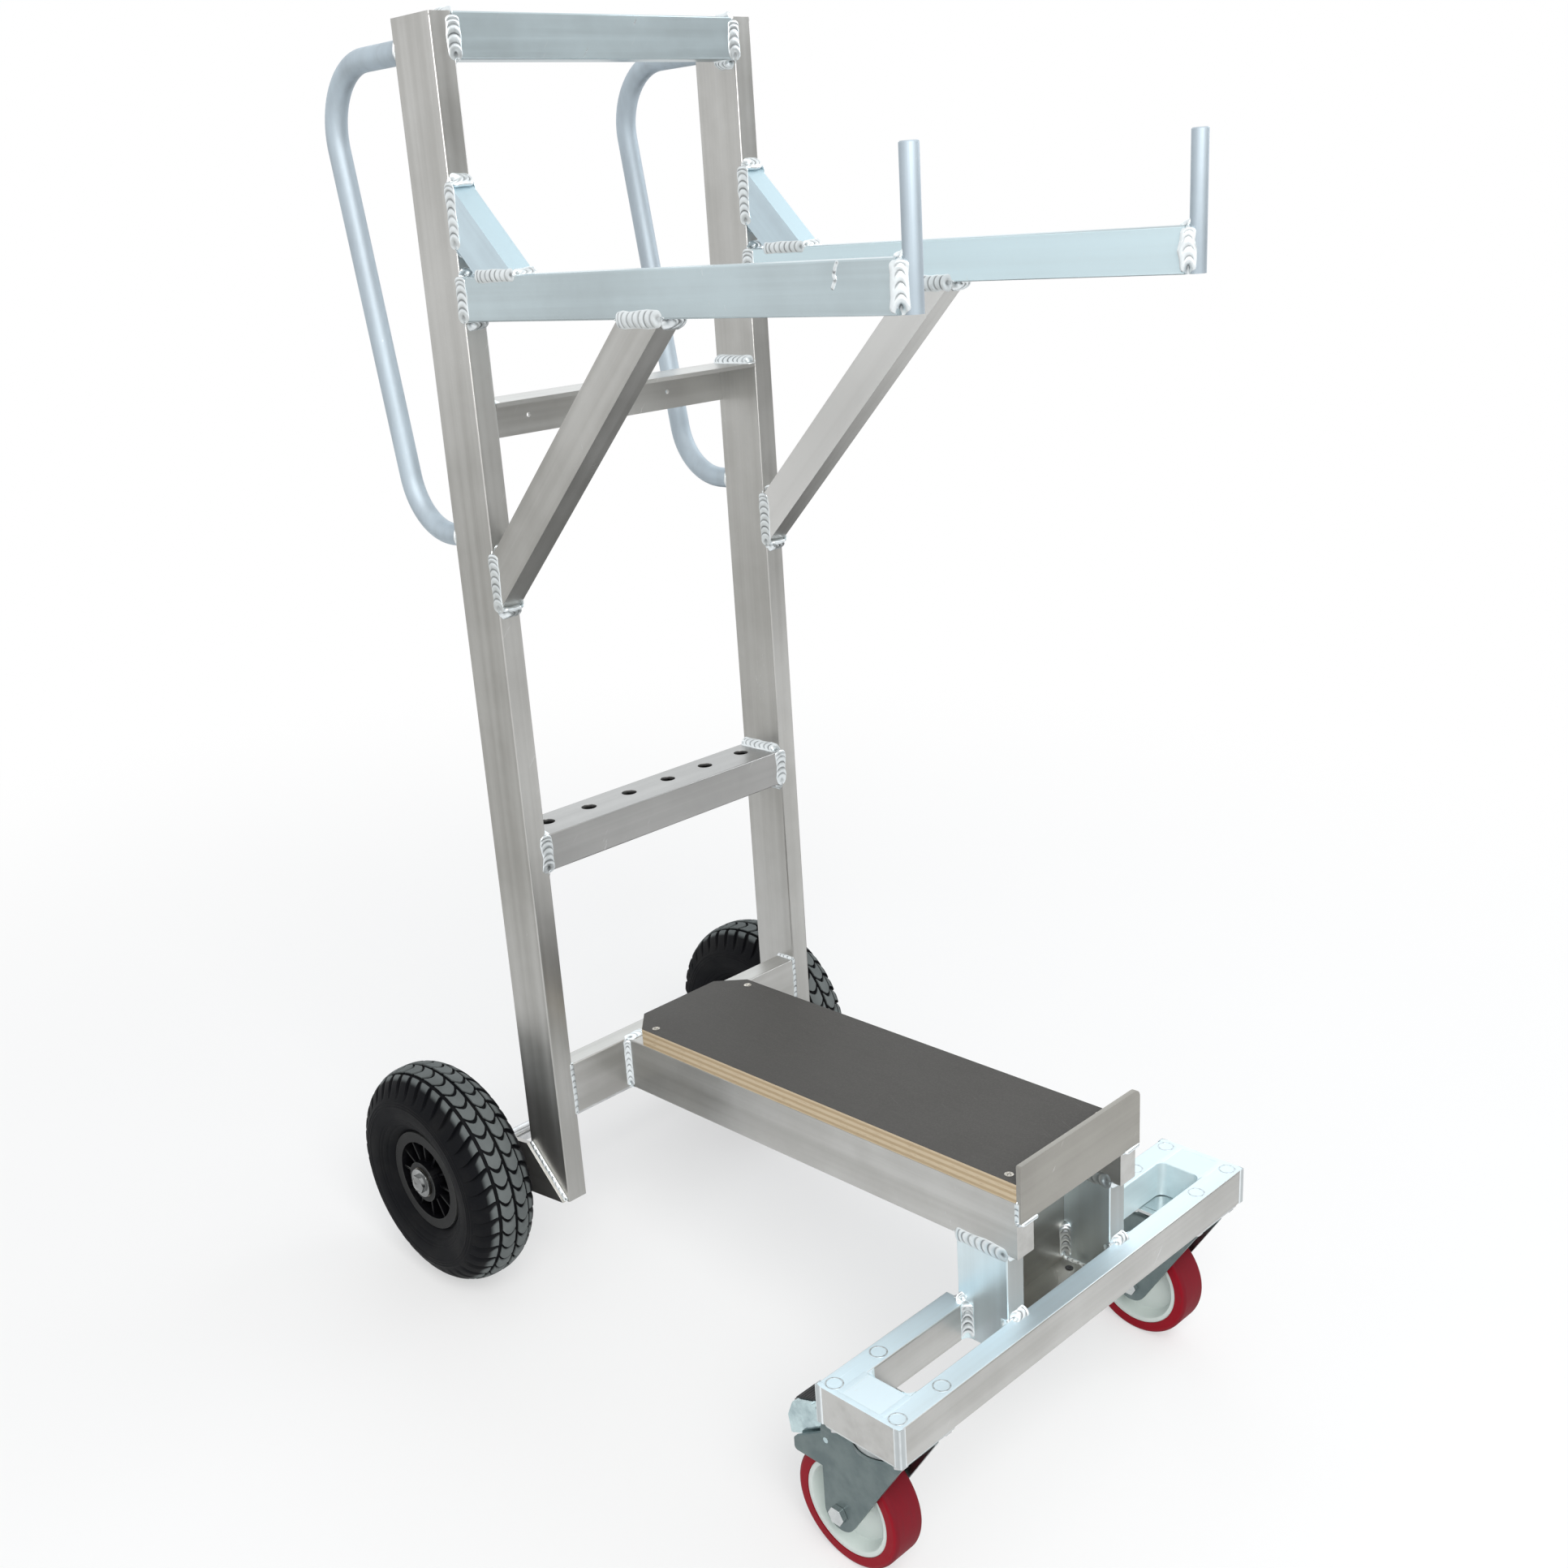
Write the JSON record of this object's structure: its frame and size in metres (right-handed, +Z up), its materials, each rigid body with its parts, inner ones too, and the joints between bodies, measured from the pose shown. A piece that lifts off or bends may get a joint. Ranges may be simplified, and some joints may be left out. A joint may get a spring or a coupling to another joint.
{
  "type": "stand cart",
  "caption": "Tall wheeled hand cart with braked swivel casters in front, pegged support arms, a low deck and loop handles, for carrying lighting stands.",
  "frame": {"origin": "middle of the footprint, on the floor", "axes": "+Z up, the front with the arms and casters faces -Y, +X is the cart's right as seen from the front"},
  "size_m": [0.608, 0.8733, 1.3391],
  "materials": {
    "tube_aluminium": "mill finish, brushed lengthwise",
    "round_aluminium": "mill finish",
    "plate_aluminium": "mill finish, ground at the welds",
    "deck_ply": "film-faced plywood, tan edges",
    "tyre_rubber": "moulded rubber",
    "rim_plastic": "moulded plastic",
    "bearing_steel": "ground",
    "bright_zinc": "bright zinc plated",
    "caster_zinc": "zinc plated pressed steel",
    "hub_nylon": "moulded nylon",
    "tread_urethane": "cast polyurethane",
    "pedal_steel": "zinc plated, black rubber pads"
  },
  "bodies": {
    "frame": {"axle_nuts": "bright_zinc", "axle_spacers": "bright_zinc", "ball_rings": "bearing_steel", "base_crossbar": "tube_aluminium", "beam_crosspieces": "tube_aluminium", "beam_end_plates": "plate_aluminium", "beam_front_rail": "tube_aluminium", "bolt_bosses": "plate_aluminium", "caster_bolts": "bright_zinc", "deck_bearers": "tube_aluminium", "deck_board": "deck_ply", "hole_bar": "tube_aluminium", "king_pins": "caster_zinc", "left_arm": "tube_aluminium", "left_axle_plate": "plate_aluminium", "left_beam_rear_rail": "tube_aluminium", "left_brace": "tube_aluminium", "left_caster_plate": "caster_zinc", "left_gusset": "tube_aluminium", "left_handle": "round_aluminium", "left_peg": "round_aluminium", "left_post": "tube_aluminium", "left_rail": "tube_aluminium", "left_upright": "tube_aluminium", "lip_plate": "plate_aluminium", "mid_angle": "tube_aluminium", "post_web": "plate_aluminium", "rear_axle": "bright_zinc", "right_arm": "tube_aluminium", "right_axle_plate": "plate_aluminium", "right_beam_rear_rail": "tube_aluminium", "right_brace": "tube_aluminium", "right_caster_plate": "caster_zinc", "right_gusset": "tube_aluminium", "right_handle": "round_aluminium", "right_peg": "round_aluminium", "right_post": "tube_aluminium", "right_rail": "tube_aluminium", "right_upright": "tube_aluminium", "top_crossbar": "tube_aluminium", "upright_caps": "plate_aluminium", "well_floor": "plate_aluminium"},
    "left_rear_wheel": {"left_tyre": "tyre_rubber", "left_rim": "rim_plastic", "left_wheel_bearings": "bearing_steel"},
    "left_caster": {"left_caster_fork": "caster_zinc", "left_caster_axle": "bright_zinc"},
    "left_caster_wheel": {"left_caster_hub": "hub_nylon", "left_caster_tread": "tread_urethane"},
    "left_brake": {"left_brake_pedal": "pedal_steel"},
    "right_rear_wheel": {"right_tyre": "tyre_rubber", "right_rim": "rim_plastic", "right_wheel_bearings": "bearing_steel"},
    "right_caster": {"right_caster_fork": "caster_zinc", "right_caster_axle": "bright_zinc"},
    "right_caster_wheel": {"right_caster_hub": "hub_nylon", "right_caster_tread": "tread_urethane"},
    "right_brake": {"right_brake_pedal": "pedal_steel"}
  },
  "joints": [
    {"name": "left_rear_wheel_spin", "type": "hinge", "parent": "frame", "child": "left_rear_wheel", "pos_m": [-0.258, 0.26678, 0.13], "axis": [1, 0, 0], "continuous": true},
    {"name": "left_caster_swivel", "type": "hinge", "parent": "frame", "child": "left_caster", "pos_m": [-0.238, -0.38902, 0.1567], "axis": [0, 0.1045, 0.9945], "continuous": true},
    {"name": "left_caster_wheel_spin", "type": "hinge", "parent": "left_caster", "child": "left_caster_wheel", "pos_m": [-0.238, -0.35569, 0.0625], "axis": [1, 0, 0], "continuous": true},
    {"name": "left_brake_press", "type": "hinge", "parent": "left_caster", "child": "left_brake", "pos_m": [-0.238, -0.33479, 0.13692], "axis": [-1, 0, 0], "range_deg": [0, 20]},
    {"name": "right_rear_wheel_spin", "type": "hinge", "parent": "frame", "child": "right_rear_wheel", "pos_m": [0.258, 0.26678, 0.13], "axis": [1, 0, 0], "continuous": true},
    {"name": "right_caster_swivel", "type": "hinge", "parent": "frame", "child": "right_caster", "pos_m": [0.238, -0.38902, 0.1567], "axis": [0, 0.1045, 0.9945], "continuous": true},
    {"name": "right_caster_wheel_spin", "type": "hinge", "parent": "right_caster", "child": "right_caster_wheel", "pos_m": [0.238, -0.35569, 0.0625], "axis": [1, 0, 0], "continuous": true},
    {"name": "right_brake_press", "type": "hinge", "parent": "right_caster", "child": "right_brake", "pos_m": [0.238, -0.33479, 0.13692], "axis": [-1, 0, 0], "range_deg": [0, 20]}
  ]
}
